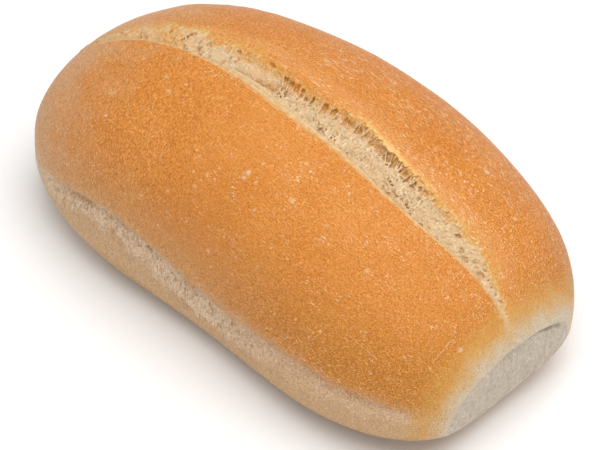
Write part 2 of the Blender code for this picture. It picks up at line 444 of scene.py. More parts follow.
def column_angles(column, u):
    """The angle round of each column of the crust at a row."""
    x = dome_x(u)
    near_y = lip_y(x, u, NEAR_LIP)
    far_y = lip_y(x, u, FAR_LIP)
    limit = 0.55 * FAR_HALF_WIDTH * dome_sides(u)
    margin = angle_at(np.minimum(far_y + CRUMB_MARGIN, limit), u)
    near = np.radians(at_stations(x, NEAR_LIP))
    rim = near + 3.2 / (NEAR_HALF_WIDTH * np.maximum(dome_sides(u), 0.3))
    seam = seam_angle(x)
    bottom = -0.5 * math.pi
    marks = (bottom, margin, near, rim, seam - 0.16, seam + 0.26, bottom + 2.0 * math.pi)
    angle = np.zeros(np.broadcast(column, u).shape) + bottom
    start = 0
    for k, (name, count) in enumerate(STRETCHES):
        part = np.clip((column - start) / count, 0.0, 1.0)
        part = crowd(part, 1.2) if name == "far" else part
        angle = np.where(column > start, marks[k] + (marks[k + 1] - marks[k]) * part, angle)
        start += count
    even = bottom + 2.0 * math.pi * column / COLUMNS
    return angle + (even - angle) * ease((-57.0 - x) / 2.5)


def crust_grid():
    column = np.arange(COLUMNS, dtype=float)[None, :]
    row = np.arange(ROWS + 1, dtype=float)[:, None]
    fold_u = fold_angle(lambda u: column_angles(column, u))
    angles, distances = MEAN_ANGLES, MEAN_DISTANCES
    fold = np.interp(fold_u, angles, distances)
    inside = fold * crowd(row / FOLD_ROW, 1.4)
    beyond = np.clip((row - FOLD_ROW) / (ROWS - FOLD_ROW), 0.0, 1.0) ** 1.1
    outside = fold + (distances[-1] - fold) * beyond
    u = np.interp(np.where(row < FOLD_ROW, inside, outside), distances, angles)
    even = 2.0 * math.pi * column / COLUMNS - 0.5 * math.pi
    fanned = even + (column_angles(column, fold_u) - even) * ease(row / FOLD_ROW)
    v = np.where(row < FOLD_ROW, fanned, column_angles(column, u))
    return u, v


def row_at(x):
    u = np.linspace(1e-4, math.pi - 1e-4, 4001)
    return np.interp(-np.asarray(x), -dome_x(u), u)


def blisters(point, on_split):
    """The height of the crust's blisters, and how far each point is inside one."""
    rng = np.random.default_rng(3)
    places = [(x, math.radians(v), r) for x, v, r in BLISTERS]
    for _ in range(90):
        small = 0.26 + 0.16 * rng.random() ** 2
        places.append((rng.uniform(-54, 54), rng.uniform(0.1, 2.95), small))
    height = np.zeros(point.shape[:-1])
    inside = np.zeros(point.shape[:-1])
    for x, v, radius in places:
        centre = skin(row_at(x), np.float64(v))
        near = np.abs(point[..., 0] - centre[0]) < 2.0
        away = np.linalg.norm(point[near] - centre, axis=-1) / radius
        away = away * (1.0 + 0.35 * noise(*(point[near] * 1.7).T, 1.0, 61))
        height[near] += 0.26 * radius * np.clip(1.0 - away ** 2, 0, 1) ** 1.5
        inside[near] = np.maximum(inside[near], np.clip((1.1 - away) / 0.6, 0, 1))
    return height * (1 - on_split), inside * (1 - on_split)


def crust_relief(point, u, v, off_fold, off_seam, on_split):
    """Small forms of the crust, in millimetres outwards."""
    x, y, z = point[..., 0], point[..., 1], point[..., 2]
    open_skin = 1.0 - on_split
    relief = (0.035 * noise(x / 1.4, y, z, 1.7, 71) + 0.02 * noise(x, y, z, 0.9, 72)) * open_skin

    # the seam: a narrow groove with pits, and a belt of short cross wrinkles below it
    along = ease((54.0 - x) / 8.0) * ease((x + 50.0) / 12.0) * (y < 0)
    solid_crease = np.exp(-(((off_seam - at_stations(x, CREASE_RISE)) / (0.5 * SEAM_WIDTH)) ** 2))
    fade = ease((56.0 - x) / 8.0) * ease((x + 48.0) / 14.0) * (y < 0)
    relief = relief + SEAM_DEPTH * fade * (0.9 * solid_crease - 0.75 * np.exp(-((off_seam / 1.2) ** 2)))
    wavy = off_seam + 0.35 * noise(x, 0 * x, 0 * x, 3.0, 81) + 0.2 * noise(x, 0 * x, 0 * x, 1.2, 82)
    groove = np.exp(-((wavy / 0.42) ** 2)) * (0.65 + 0.35 * noise(x, 0 * x, 0 * x, 2.4, 83))
    pits = ease((noise(x, 0 * x, 0 * x, 0.75, 84) - 0.05) / 0.3) * np.exp(-(((wavy - 0.35) / 0.45) ** 2))
    pits = pits * ease((x + 42.0) / 8.0) * ease((14.0 - x) / 16.0)
    curl = np.exp(-(((wavy + 1.5) / 1.1) ** 2)) + 0.8 * np.exp(-(((wavy - 1.6) / 0.9) ** 2))
    relief = relief + along * (0.30 * curl - 0.75 * groove - 0.6 * pits)
    belt = ease((off_seam + 0.4) / 0.8) * ease((4.5 - off_seam) / 2.0) * along
    cross = noise(x / 0.8, off_seam / 2.6, 0 * x, 1.0, 85) + 0.6 * noise(x / 1.7, off_seam / 3.4, 0 * x, 1.0, 86)
    relief = relief + 0.36 * belt * cross
    for k, (at, lean) in enumerate(((-33, 0.3), (-19, -0.5), (-5, 0.9), (1, -0.8), (12, 0.4), (24, 0.7), (36, -0.4))):
        away = (x - at - lean * off_seam) / 0.5
        relief = relief - 0.28 * belt * np.exp(-(away ** 2)) * ease(1.2 - off_seam / 5.0)

    # the flat end: mottled, with a torn wrinkle below its fold on the far side
    end = ease((-0.3 - off_fold) / 0.6)
    relief = relief + end * (0.26 * noise(y, z / 1.3, x, 2.3, 91) + 0.20 * noise(y, z / 1.3, x, 0.95, 92))
    turn = np.exp(-(((np.degrees(v) - 38.0) / 26.0) ** 2))
    tear = off_fold + 1.9 + 0.5 * noise(y, z, 0 * y, 2.0, 93)
    relief = relief + end * turn * (0.45 * np.exp(-((tear / 0.45) ** 2)) * (1 + 0.7 * noise(y, z, 0 * y, 0.8, 94))
                                    - 0.4 * np.exp(-(((tear - 0.8) / 0.4) ** 2)))
    frill = np.exp(-(((off_fold - 0.35) / 0.5) ** 2)) * ease(np.sin(v) + 0.35)
    flakes = np.exp(-(((off_fold - 1.3) / 1.5) ** 2)) * np.exp(-(((np.degrees(v) - 87.0) / 6.0) ** 2))
    flakes = flakes * np.clip(noise(x, y, z, 0.9, 96) + 0.2, 0, 1)
    return relief + 0.20 * frill * noise(x, y, z, 0.9, 95) + 0.55 * flakes


def grid_faces():
    """Quads of the grid, which closes round its columns, and a fan at each end."""
    column = np.arange(COLUMNS)
    after = (column + 1) % COLUMNS
    start = (np.arange(ROWS - 2) * COLUMNS)[:, None] + 1
    quads = np.stack([start + column, start + after, start + COLUMNS + after, start + COLUMNS + column], axis=-1)
    last = (ROWS - 2) * COLUMNS + 1
    pole = np.zeros(COLUMNS, int)
    fan = np.stack([pole, after + 1, column + 1], axis=1)
    tail = np.stack([pole + (ROWS - 1) * COLUMNS + 1, last + column, last + after], axis=1)
    return np.stack([fan, tail]), quads


def make_crust():
    u, v = crust_grid()
    point, normal = skin_and_normal(u, v)
    x, y, z = point[..., 0], point[..., 1], point[..., 2]
    spine = dome_x(u)
    near_y = lip_y(spine, u, NEAR_LIP)
    width = np.maximum(lip_y(spine, u, FAR_LIP) - near_y, 0.05)
    upper = np.sin(v) > 0
    across = np.where(upper, dome(u, v)[1], 99.0) - near_y
    inside = cover(spine, across, width)
    hidden = ease((inside - 0.6) / 1.2) * (across > 0) * upper
    floor, _ = crumb_floor(spine, across, width)
    wall = ease(across / 0.7)
    sink = np.where((across > 0) & upper, (floor * (across < width) + CRUST_SINK * hidden) * wall, 0.0)

    off_fold = past_fold(u, v)
    off_seam = past_seam(spine, v)
    on_split = np.where(upper & (spine > CRUMB_FROM), ease((across + 0.4) / 0.4) * ease((inside + 0.4) / 0.6), 0.0)
    relief = crust_relief(point, u, v, off_fold, off_seam, on_split)
    raised, blister = blisters(point, on_split)
    reach = at_stations(spine, RIM_WIDTH)
    edge = ease(1.0 + across / reach) * ((across <= 0.3) & upper) * ease((spine + 56) / 8)
    edge = edge * ease((off_fold - 0.8) / 5.0)
    puff = 0.09 * edge * (1.0 - edge) * 4.0 * (across < 0)
    point = point + normal * (relief + raised + puff - sink)[..., None]
    numbers = {
        "rim": edge, "cut": np.clip(sink / 0.4, 0.0, 1.0) * (across < 2.5), "blister": blister,
        "brown": np.where(across > 0, browned(spine, y, z, across, width), 1.0),
        "off_fold": off_fold, "off_seam": off_seam,
        "glow": np.where(upper, far_glow(spine, across - width), 0.0),
    }

    def flatten(values):
        ends = values[0].mean(axis=0, keepdims=True), values[-1].mean(axis=0, keepdims=True)
        return np.concatenate([ends[0], values[1:ROWS].reshape(-1, *values.shape[2:]), ends[1]])

    points = flatten(point)
    numbers = {key: flatten(np.broadcast_to(value, u.shape)) for key, value in numbers.items()}
    fans, quads = grid_faces()
    normals = point_normals(points, fans.reshape(-1, 3), quads.reshape(-1, 4))
    far, near = slice(0, MIDDLE_COLUMN), slice(MIDDLE_COLUMN, COLUMNS)
    return [make_piece(name, points, normals, fans[:, part].reshape(-1, 3), quads[:, part].reshape(-1, 4), numbers)
            for name, part in (("crust_far", far), ("crust_near", near))]


# ---- the crumb ----

def surface_net(field):
    """Quads around the places where the field changes sign; positive is solid."""
    cells = tuple(n - 1 for n in field.shape)
    total = np.zeros(cells + (3,))
    count = np.zeros(cells)
    crossing = []
    for axis in range(3):
        a = np.take(field, range(field.shape[axis] - 1), axis)
        b = np.take(field, range(1, field.shape[axis]), axis)
        cross = (a > 0) != (b > 0)
        where = np.argwhere(cross)
        fa, fb = a[cross], b[cross]
        at = where.astype(float)
        at[:, axis] += fa / (fa - fb)
        others = [k for k in range(3) if k != axis]
        for step in ((0, 0), (0, 1), (1, 0), (1, 1)):
            cell = where.copy()
            cell[:, others] -= step
            ok = np.all((cell >= 0) & (cell < np.array(cells)), axis=1)
            flat = np.ravel_multi_index(cell[ok].T, cells)
            np.add.at(count.reshape(-1), flat, 1.0)
            np.add.at(total.reshape(-1, 3), flat, at[ok])
        crossing.append((axis, others, where, fa > 0))
    index = np.full(cells, -1)
    used = count > 0
    index[used] = np.arange(used.sum())
    points = total[used] / count[used][:, None]
    quads = []
    for axis, others, where, solid_first in crossing:
        inner = np.all((where[:, others] >= 1) & (where[:, others] < np.array(cells)[others]), axis=1)
        where, solid_first = where[inner], solid_first[inner]
        corner = []
        for step in ((1, 1), (0, 1), (0, 0), (1, 0)):
            cell = where.copy()
            cell[:, others] -= step
            corner.append(index[tuple(cell.T)])
        quad = np.stack(corner, axis=1)
        flip = solid_first if axis != 1 else ~solid_first
        quad[~flip] = quad[~flip][:, ::-1]
        quads.append(quad)
    return points, np.concatenate(quads)


def carve(field, low, centre, radii, soft):
    """Takes an egg-shaped bubble out of the field."""
    centre, radii = np.array(centre), np.array(radii)
    a = np.maximum(np.floor((centre - radii - 0.4 - low) / VOXEL).astype(int), 0)
    b = np.minimum(np.ceil((centre + radii + 0.4 - low) / VOXEL).astype(int) + 1, field.shape)
    if np.any(b <= a):
        return
    grid = [low[k] + VOXEL * np.arange(a[k], b[k]) - centre[k] for k in range(3)]
    scaled = (grid[0][:, None, None] / radii[0]) ** 2 + (grid[1][None, :, None] / radii[1]) ** 2 \
        + (grid[2][None, None, :] / radii[2]) ** 2
    distance = (np.sqrt(scaled) - 1.0) * radii.min()
    block = field[a[0]:b[0], a[1]:b[1], a[2]:b[2]]
    block[...] = soft_min(block, distance, soft)


def lay(field, low, line, radius):
    """Adds a thread along a line of points to the field."""
    reach = radius + 3.0 * VOXEL
    for start, end in zip(line[:-1], line[1:]):
        a = np.maximum(np.floor((np.minimum(start, end) - reach - low) / VOXEL).astype(int), 0)
        b = np.minimum(np.ceil((np.maximum(start, end) + reach - low) / VOXEL).astype(int) + 1, field.shape)
        if np.any(b <= a):
            continue
        grid = np.stack(np.meshgrid(*(low[k] + VOXEL * np.arange(a[k], b[k]) for k in range(3)), indexing="ij"), axis=-1)
        ahead = end - start
        part = np.clip((grid - start) @ ahead / (ahead @ ahead), 0.0, 1.0)
        distance = np.linalg.norm(grid - start - part[..., None] * ahead, axis=-1)
        block = field[a[0]:b[0], a[1]:b[1], a[2]:b[2]]
        block[...] = soft_max(block, radius - distance, 0.12)


class Split:
    """The split laid flat: s along the crest, across from the near lip, and depth."""

    def __init__(self):
        self.angles, self.distances = arc_lengths(lambda u: (TOP_HEIGHT - WIDEST_HEIGHT) * dome_tall(u))
        self.low = np.array([self.along(CRUMB_TO + 1.2), -1.4, -0.8])
        self.high = self.along(CRUMB_FROM - 2.0)
        self.shape = (int((self.high - self.low[0]) / VOXEL), int(19.5 / VOXEL), int(6.2 / VOXEL))
        self.s, self.across, self.depth = (self.low[k] + VOXEL * np.arange(self.shape[k]) for k in range(3))
        u = np.interp(self.s, self.distances, self.angles)
        self.x = dome_x(u)
        self.width = np.maximum(lip_y(self.x, u, FAR_LIP) - lip_y(self.x, u, NEAR_LIP), 0.05)
        flat = np.broadcast_to(self.s[:, None], self.shape[:2])
        over = np.broadcast_to(self.across[None, :], self.shape[:2])
        wide = self.width[:, None]
        floor, rise = crumb_floor(self.x[:, None], over, wide)
        bare = ease((wide - over + 0.5) / 2.0)
        rough = 0.26 * noise(flat, over, 0 * flat, 2.8, 41) + 0.14 * noise(flat, over, 0 * flat, 1.3, 42)
        self.inside = cover(self.x[:, None], over, wide)
        thin = 0.3 * np.clip((1.0 - self.inside) / 3.0, 0, 1) ** 2
        self.base = floor + rough * bare * (0.3 + 0.7 * rise) + 0.8 * np.clip(-over, 0, None) - 0.02 + thin
        open_crumb = np.clip((wide - over) / 2.0 + 0.5, 0, 1) * ease((over + 0.2) / 0.9)
        calm = 0.5 * ease((-1.0 - self.x[:, None]) / 6.0) + 0.5 * ease((self.x[:, None] - 37.0) / 8.0)
        open_crumb = open_crumb * (0.12 + 0.88 * ease((self.x[:, None] + 27.0) / 12.0)) * (1.0 - calm)
        pit, number = cells(flat, over, 1.15, 43)
        small_pit, small_number = cells(flat, over, 0.62, 53)
        patch = ease(0.5 + 0.9 * noise(flat, over, 0 * flat, 3.4, 63))
        dents = 0.5 * pit * (0.15 + 0.85 * patch * number ** 1.5) + 0.26 * small_pit * (0.25 + 0.75 * small_number)
        hanging = at_stations(self.x, OVERHANG)[:, None]
        sunk = 0.45 + 0.55 * ease(0.5 + 1.1 * noise(flat, 0 * over, 0 * flat, 3.2, 73))
        self.base = self.base + 0.95 * hanging * sunk * np.exp(-(((over - wide + 0.4) / 1.1) ** 2))
        row = np.interp(self.x, *zip(*PIT_ROW))[:, None]
        dip = 0.95 * np.exp(-(((over - row) / 1.0) ** 2)) * (ease((self.x + 19.0) / 6.0) * ease((0.5 - self.x) / 3.0))[:, None]
        self.top = self.base + dents * open_crumb + dip

    def along(self, x):
        return np.interp(row_at(x), self.angles, self.distances)

    def at(self, s, values):
        return np.interp(s, self.s, values)

    def surface(self, s, a):
        """The crumb's depth at a place, before its pits."""
        k = np.clip(((s - self.low[0]) / VOXEL).astype(int), 0, self.shape[0] - 1)
        j = np.clip(((a - self.low[1]) / VOXEL).astype(int), 0, self.shape[1] - 1)
        return self.base[k, j]

    def bend(self, s, a, d):
        """Points and outward directions on the roll, and numbers for the colours."""
        u = np.interp(s, self.distances, self.angles)
        x = dome_x(u)
        near_y = lip_y(x, u, NEAR_LIP)
        width = np.maximum(lip_y(x, u, FAR_LIP) - near_y, 0.05)
        v = angle_at(near_y + a, u)
        point, normal = skin_and_normal(u, v)
        hanging = at_stations(x, OVERHANG)
        brown = browned(x, point[..., 1], point[..., 2], a, width)
        deep = ease((d - 0.25) / 0.7) * hanging
        brown = brown * (1.0 - deep) + np.minimum(brown, 0.46) * deep
        fringe = hanging * np.exp(-(((a - width) / 0.8) ** 2)) * ease((1.0 - d) / 0.6)
        rim = ease((1.9 - a) / 1.2) * ease((x + 15.0) / 7.0) * ease((16.0 - x) / 9.0)
        numbers = {"brown": brown, "fringe": fringe, "rim": rim, "glow": far_glow(x, a - width),
                   "off_fold": past_fold(u, v), "off_seam": 0.0 * x - 30.0}
        return point - normal * d[..., None], normal, numbers


def make_crumb(split):
    rng = np.random.default_rng(11)
    s, low, high, width, top, shape = split.s, split.low, split.high, split.width, split.top, split.shape
    S, A, D = s[:, None, None], split.across[None, :, None], split.depth[None, None, :]
    field = D - top[:, :, None]
    field = np.minimum(field, (split.inside + 1.4)[:, :, None])
    field = np.minimum(field, (top[:, :, None] + 2.2) - D)
    field = np.minimum(field, A - low[1] - VOXEL)

    def dig(at, a, radii, deeper, soft=0.06):
        depth = split.surface(np.array(at), np.array(a)) + deeper
        carve(field, low, (at, a, depth), radii, soft)

    # deeper pits beside the near lip, and scattered ones
    for _ in range(120):
        at = rng.uniform(low[0] + 3.0, high - 3.0)
        w = split.at(at, width)
        a = rng.uniform(0.9, 3.2) if rng.random() < 0.6 else rng.uniform(0.8, max(w - 1.0, 0.9))
        if a > w - 0.4 or (split.at(at, split.x) < -17.0 and rng.random() < 0.85):
            continue
        if -17.0 < split.at(at, split.x) < 5.0 and a < 2.0:
            continue
        r = rng.uniform(0.3, 0.6) * min(1.0, 0.4 + w / 8.0)
        dig(at, a, (r * rng.uniform(1.0, 1.8), r, r), rng.uniform(-0.2, 0.4) * r)

    # hollows beside the far lip, with threads left standing between and over them
    strength = at_stations(split.x, HOLLOWS)
    notch = np.zeros(shape[0])
    threads = []
    at = low[0] + 6.0
    while at < high - 6.0:
        x_at = split.at(at, split.x)
        under_edge = x_at > 17.0
        r = rng.uniform(0.5, 1.0) if under_edge else rng.uniform(0.35, 0.9)
        if split.at(at, strength) > 0.25:
            w = split.at(at, width)
            into = at_stations(x_at, HOLLOW_IN)
            notch += 0.4 * min(r, 1.0) * np.exp(-(((s - at) / (0.7 * r)) ** 2))
            lean = rng.normal(0.15, 0.15)
            for place in ((-0.4,) if under_edge or r < 0.5 else (-0.3, 0.35)):
                size = r * rng.uniform(0.95, 1.2) * (1.0 if place < 0.3 else 0.85)
                off = place * rng.uniform(0.6, 1.2)
                dig(at - lean * off, w - into + off, (size, min(size, 0.9) * rng.uniform(0.9, 1.3), 0.7),
                    (rng.uniform(-0.3, 0.1) if under_edge else rng.uniform(-0.05, 0.2)) + 0.2 * place, 0.2)
            threads.append((at + r + 0.1, w - into, rng.normal(1.3, 0.2), rng.uniform(2.2, 3.4), rng.uniform(0.15, 0.23)))
            for _ in range(rng.integers(0, 3)):
                threads.append((at + rng.uniform(-r, r), w - into + rng.uniform(-0.6, 0.6), rng.normal(1.4, 0.45),
                                rng.uniform(1.2, 2.8), rng.uniform(0.10, 0.14)))
        at += r * 2.0 + rng.uniform(0.0, 0.8)

    # a row of pits that crosses from the near lip, and one notch across the left band
    at = split.along(PIT_ROW[-1][0])
    while at < split.along(PIT_ROW[0][0]):
        a = np.interp(split.at(at, split.x), *zip(*PIT_ROW)) + rng.uniform(-0.35, 0.35)
        r = rng.uniform(0.32, 0.55)
        dig(at, a, (r * rng.uniform(1.0, 1.7), r, 0.7), rng.uniform(0.45, 0.9), 0.12)
        at += rng.uniform(0.6, 1.3)
    for off in (-1.3, -0.7, 0.0, 0.6, 1.2):
        dig(split.along(NOTCH_AT[0] + 0.7 * off), NOTCH_AT[1] + off, (0.34, 0.45, 0.6), 0.55 - 0.3 * abs(off - 0.3), 0.1)
    for _ in range(30):
        at = split.along(rng.uniform(-48.0, -16.0))
        a = split.at(at, width) * rng.uniform(0.25, 0.95)
        turn = rng.normal(0.3, 0.3)
        for off in (-0.4, 0.0, 0.4):
            dig(at - turn * off, a + off, (0.24, 0.4, 0.35), 0.06, 0.1)

    # small pits down the narrow end
    at = split.along(58.0)
    while at < split.along(46.0):
        r = rng.uniform(0.17, 0.31)
        w = split.at(at, width)
        dig(at, w * rng.uniform(0.35, 0.65), (r * rng.uniform(1.0, 1.6), r, 0.5), rng.uniform(0.0, 0.2), 0.08)
        at += rng.uniform(1.1, 2.7)

    # threads from the crust's edge down to the crumb, and fibres that lie on it
    at = split.along(36.0)
    while at < split.along(14.0):
        part = np.linspace(0.0, 1.0, 7)
        down = rng.uniform(0.8, 2.4)
        ts = at + rng.normal(0.0, 0.7) * part + rng.normal(0.0, 0.35) * part ** 2
        ta = split.at(at, width) + 0.1 - (down + 0.3) * part
        depth = 0.22 + (split.surface(ts, ta) + 0.1 - 0.22) * part ** 0.8
        lay(field, low, np.stack([ts, ta, depth], axis=1), rng.uniform(0.09, 0.15))
        at += rng.uniform(0.4, 1.2)
    for _ in range(600):
        at = rng.uniform(split.along(46.0), split.along(-4.0))
        w = split.at(at, width)
        clear = 3.4 if -4.0 < split.at(at, split.x) < 18.0 else 1.0
        a = rng.uniform(0.8, max(w - clear, 0.9))
        threads.append((at, a, rng.normal(1.2, 0.6), rng.uniform(0.6, 1.7), rng.uniform(0.09, 0.13)))
    for at, a, heading, length, radius in threads:
        bow = rng.uniform(-0.3, 0.3)
        part = np.linspace(-0.5, 0.5, 9)
        ts = at + length * (part * math.cos(heading) + bow * (part ** 2 - 0.1) * math.sin(heading))
        ta = a + length * (part * math.sin(heading) - bow * (part ** 2 - 0.1) * math.cos(heading))
        lift = rng.uniform(0.0, 0.25) if radius > 0.135 else -0.06
        depth = split.surface(ts, ta) + 0.1 + lift * (1.0 - 4.0 * part ** 2)
        lay(field, low, np.stack([ts, ta, depth], axis=1), radius)

    # the crust's own edge over the hollows
    hanging = at_stations(split.x, OVERHANG)
    edge = width + notch - 0.3 + 0.30 * noise(s, s * 0, s * 0, 0.85, 31) + 0.25 * noise(s, s * 0, s * 0, 2.2, 32)
    edge = edge + 0.30 * noise(s, s * 0, s * 0, 0.42, 33)
    layer = soft_min(soft_min(D + 0.02, 0.45 - D, 0.12), A - edge[:, None, None], 0.3)
    layer = np.where((split.inside[:, :, None] > 1.5) & (hanging[:, None, None] > 0.05), layer, -1.0)
    field = np.maximum(field, layer)
    grain = 0.07 * noise(S, A, D, 0.5, 51) + 0.09 * noise(S, A, D, 1.1, 52)
    field = field + grain * np.clip((width[:, None, None] - A + 0.8) / 1.5, 0, 1) * np.clip(A + 0.2, 0, 1)
    for k in range(3):
        for end in (0, -1):
            edges = [slice(None)] * 3
            edges[k] = end
            field[tuple(edges)] = -1.0

    cells, quads = surface_net(field)
    cs, ca, cd = (low + VOXEL * cells).T
    points, outward, numbers = split.bend(cs, ca, cd)
    dug = cd - split.surface(cs, ca)
    # How deep each point is dug below the crumb's surface; the crumb's material paints shade from it.
    numbers["hollow"] = np.clip(dug, 0.0, 2.0)
    numbers["raised"] = np.clip((-0.12 - dug) / 0.35, 0.0, 1.0) * ease((split.at(cs, width) - 0.3 - ca) / 0.5)
    hidden = dug > 1.95
    quads = quads[~hidden[quads].all(axis=1)]
    none = np.zeros((0, 3), int)
    normals = point_normals(points, none, quads, outward)
    at = points[quads[:, 0], 0]
    parts = (("crumb_right", at > CRUMB_CUTS[1]), ("crumb_middle", (at > CRUMB_CUTS[0]) & (at <= CRUMB_CUTS[1])),
             ("crumb_left", at <= CRUMB_CUTS[0]))
    return [make_piece(name, points, normals, none, quads[keep], numbers) for name, keep in parts]


# ---- materials ----

class Nodes:
    """Short names for making a material's nodes."""

    def __init__(self, name):
        self.material = bpy.data.materials.new(name)
        self.material.use_nodes = True
        self.tree = self.material.node_tree
        self.tree.nodes.clear()
        self.output = self.tree.nodes.new("ShaderNodeOutputMaterial")
        self.shader = self.tree.nodes.new("ShaderNodeBsdfPrincipled")
        self.tree.links.new(self.shader.outputs[0], self.output.inputs[0])
        where = self.tree.nodes.new("ShaderNodeTexCoord")
        self.place = where.outputs["Object"]

    def put(self, socket, value):
        if isinstance(value, bpy.types.NodeSocket):
            self.tree.links.new(value, socket)
        elif isinstance(value, (tuple, list)) and len(value) == 3 and socket.type == "RGBA":
            socket.default_value = (*value, 1.0)
        else:
            socket.default_value = value

    def number(self, key):
        node = self.tree.nodes.new("ShaderNodeAttribute")
        node.attribute_name = key
        return node.outputs["Fac"]

    def scaled(self, scale):
        node = self.tree.nodes.new("ShaderNodeMapping")
        self.put(node.inputs["Vector"], self.place)
        node.inputs["Scale"].default_value = scale
        return node.outputs[0]

    def grain(self, size, detail=2.0, roughness=0.5, stretch=(1, 1, 1)):
        """Noise whose lumps are about size millimetres, from 0 to 1."""
        node = self.tree.nodes.new("ShaderNodeTexNoise")
        self.put(node.inputs["Vector"], self.scaled(tuple(1000.0 / size / k for k in stretch)))
        node.inputs["Scale"].default_value = 1.0
        node.inputs["Detail"].default_value = detail
        node.inputs["Roughness"].default_value = roughness
        return node.outputs["Fac"]

    def web(self, size, stretch=(1, 1, 1)):
        """One on thin curving lines, nothing between them."""
        away = self.math("ABSOLUTE", self.math("SUBTRACT", self.grain(size, 1.0, 0.5, stretch), 0.5))
        return self.ramp(away, 0.05, 0.005)

    def math(self, kind, a, b=0.0):
        node = self.tree.nodes.new("ShaderNodeMath")
        node.operation = kind
        self.put(node.inputs[0], a)
        self.put(node.inputs[1], b)
        return node.outputs[0]

    def vector(self, kind, a, b):
        node = self.tree.nodes.new("ShaderNodeVectorMath")
        node.operation = kind
        self.put(node.inputs[0], a)
        self.put(node.inputs[1], b)
        return node.outputs["Value"] if kind in ("DOT_PRODUCT", "DISTANCE") else node.outputs[0]

    def ramp(self, value, low, high, out_low=0.0, out_high=1.0):
        node = self.tree.nodes.new("ShaderNodeMapRange")
        node.interpolation_type = "SMOOTHSTEP"
        for k, item in enumerate((value, low, high, out_low, out_high)):
            self.put(node.inputs[k], item)
        return node.outputs[0]

    def mix(self, part, a, b, kind="MIX"):
        node = self.tree.nodes.new("ShaderNodeMix")
        node.data_type = "RGBA"
        node.blend_type = kind
        self.put(node.inputs[0], part)
        self.put(node.inputs[6], a)
        self.put(node.inputs[7], b)
        return node.outputs[2]

    def bump(self, height, distance, strength=1.0, after=None):
        node = self.tree.nodes.new("ShaderNodeBump")
        self.put(node.inputs["Height"], height)
        node.inputs["Distance"].default_value = distance * MM
        node.inputs["Strength"].default_value = strength
        if after is not None:
            self.put(node.inputs["Normal"], after)
        return node.outputs[0]


ORANGE = (0.610, 0.208, 0.028)
DARK_ORANGE = (0.430, 0.128, 0.014)
LIGHT_ORANGE = (0.800, 0.345, 0.080)
# Painted shade of the lower flank.
GOLDEN_SHADE = (0.520, 0.198, 0.025)
YELLOW = (0.640, 0.330, 0.080)
RIM = (0.690, 0.475, 0.235)
DARK_RIM = (0.600, 0.370, 0.150)
CREAM = (0.730, 0.520, 0.305)
DEEP_CREAM = (0.560, 0.330, 0.130)
# Painted shade for the deepest pits and hollows of the crumb.
PIT_SHADE_OCHRE = (0.590, 0.320, 0.105)
FRINGE = (0.860, 0.540, 0.190)
GLOW = (0.720, 0.335, 0.115)
BELT = (0.680, 0.497, 0.335)
STRIP = (0.590, 0.370, 0.195)
CHIP = (0.330, 0.215, 0.120)
FLAKE = (0.740, 0.610, 0.450)
THREAD = (0.800, 0.640, 0.430)
PALE = (0.630, 0.445, 0.250)
WHITISH = (0.650, 0.530, 0.385)
DARK_PATCH = (0.470, 0.386, 0.291)
LIGHT_PATCH = (0.680, 0.584, 0.472)
TAN = (0.500, 0.305, 0.135)
FLECK_AND_GLINT = (0.820, 0.590, 0.370)
BLISTER = (0.740, 0.490, 0.290)
SOLE = (0.430, 0.240, 0.090)

# Fine scratches on the crust, each from one place to another, in millimetres.
SCRATCHES = (((54, -22, 27), (54.5, -17.5, 30)), ((40, -29.5, 29), (46, -28.5, 26.5)))


